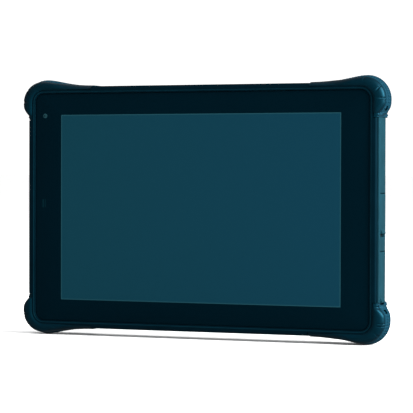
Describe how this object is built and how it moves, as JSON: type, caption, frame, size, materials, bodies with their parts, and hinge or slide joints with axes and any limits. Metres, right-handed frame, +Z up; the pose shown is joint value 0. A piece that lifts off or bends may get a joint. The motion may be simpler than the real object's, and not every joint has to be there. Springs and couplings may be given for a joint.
{
  "type": "data collector",
  "caption": "Rugged field data collector: a sealed tablet with a glass-fronted display, rubber corner bumpers, hinged port doors, top buttons and a latched battery.",
  "frame": {"origin": "under the middle of the object, at the height of the lowest points of its lower bumpers", "axes": "+Z up, +X to the right as one faces the screen, -Y out of the screen towards the user"},
  "size_m": [0.225, 0.021, 0.149],
  "materials": {
    "bezel": "fine moulded texture, dark blue-green",
    "cover_glass": "clear toughened glass with a black printed border",
    "display": "switched-off display under glass",
    "shell": "fine moulded texture, blue-green grey",
    "bumper": "soft satin rubber",
    "seal": "matt black silicone",
    "button": "soft satin rubber",
    "latch": "moulded, ribbed",
    "plastic": "black moulding",
    "battery": "moulded battery case",
    "alloy": "die cast and stamped, satin",
    "copper": "rolled copper sheet",
    "brass": "turned",
    "gold_contact": "plated",
    "screw": "blackened steel",
    "board": "green solder mask",
    "lens": "dark clear window",
    "ceramic": "fired ceramic patch"
  },
  "bodies": {
    "case": {"front_bezel": "bezel", "cover_glass": "cover_glass", "glass_gasket": "seal", "display_panel": "display", "front_camera_module": "plastic", "sensor_module": "plastic", "rear_housing": "shell", "usb_c_socket": "alloy", "audio_jack": "plastic", "usb_a_socket": "alloy", "power_jack": "plastic", "port_board": "board", "button_board": "board", "mid_frame": "alloy", "main_board": "board", "processor_shield": "alloy", "heat_spreader": "copper", "battery_pack": "battery", "battery_connector": "plastic", "rear_camera_module": "plastic", "rear_camera_window": "lens", "flash_lens": "lens", "loudspeaker": "plastic", "gnss_antenna": "ceramic", "wifi_antenna": "board", "cellular_antenna": "board", "docking_connector": "plastic", "bumper_top_right": "bumper", "bumper_top_left": "bumper", "bumper_bottom_left": "bumper", "bumper_bottom_right": "bumper", "docking_contact_1": "gold_contact", "docking_contact_2": "gold_contact", "docking_contact_3": "gold_contact", "docking_contact_4": "gold_contact", "strap_insert_top_right": "brass", "strap_insert_top_left": "brass", "strap_insert_bottom_left": "brass", "strap_insert_bottom_right": "brass", "case_screw_top_left": "screw", "case_screw_top_right": "screw", "case_screw_bottom_left": "screw", "case_screw_bottom_right": "screw", "case_screw_side_left": "screw", "case_screw_side_right": "screw", "bumper_screw_top_right": "screw", "bumper_screw_top_left": "screw", "bumper_screw_bottom_left": "screw", "bumper_screw_bottom_right": "screw"},
    "upper_port_door": {"port_door_upper": "shell", "port_door_upper_seal": "seal"},
    "lower_port_door": {"port_door_lower": "shell", "port_door_lower_seal": "seal"},
    "power_button": {"power_button": "button"},
    "function_button": {"function_button": "button"},
    "volume_down_button": {"volume_down_button": "button"},
    "volume_up_button": {"volume_up_button": "button"},
    "battery_latch_left": {"battery_latch_left": "latch"},
    "battery_latch_right": {"battery_latch_right": "latch"}
  },
  "joints": [
    {"name": "upper_port_door_hinge", "type": "hinge", "parent": "case", "child": "upper_port_door", "pos_m": [0.1068, 0.0004, 0.0831], "axis": [0, -1, 0], "range_deg": [0, 110]},
    {"name": "lower_port_door_hinge", "type": "hinge", "parent": "case", "child": "lower_port_door", "pos_m": [0.1068, 0.0004, 0.0511], "axis": [0, -1, 0], "range_deg": [0, 110]},
    {"name": "power_button_press", "type": "slide", "parent": "case", "child": "power_button", "axis": [0, 0, -1], "range_m": [0, 0.0008], "stiffness_N_per_m": 2500},
    {"name": "function_button_press", "type": "slide", "parent": "case", "child": "function_button", "axis": [0, 0, -1], "range_m": [0, 0.0008], "stiffness_N_per_m": 2500},
    {"name": "volume_down_button_press", "type": "slide", "parent": "case", "child": "volume_down_button", "axis": [0, 0, -1], "range_m": [0, 0.0008], "stiffness_N_per_m": 2500},
    {"name": "volume_up_button_press", "type": "slide", "parent": "case", "child": "volume_up_button", "axis": [0, 0, -1], "range_m": [0, 0.0008], "stiffness_N_per_m": 2500},
    {"name": "battery_latch_left_slide", "type": "slide", "parent": "case", "child": "battery_latch_left", "axis": [-1, 0, 0], "range_m": [0, 0.004], "stiffness_N_per_m": 300},
    {"name": "battery_latch_right_slide", "type": "slide", "parent": "case", "child": "battery_latch_right", "axis": [1, 0, 0], "range_m": [0, 0.004], "stiffness_N_per_m": 300}
  ]
}
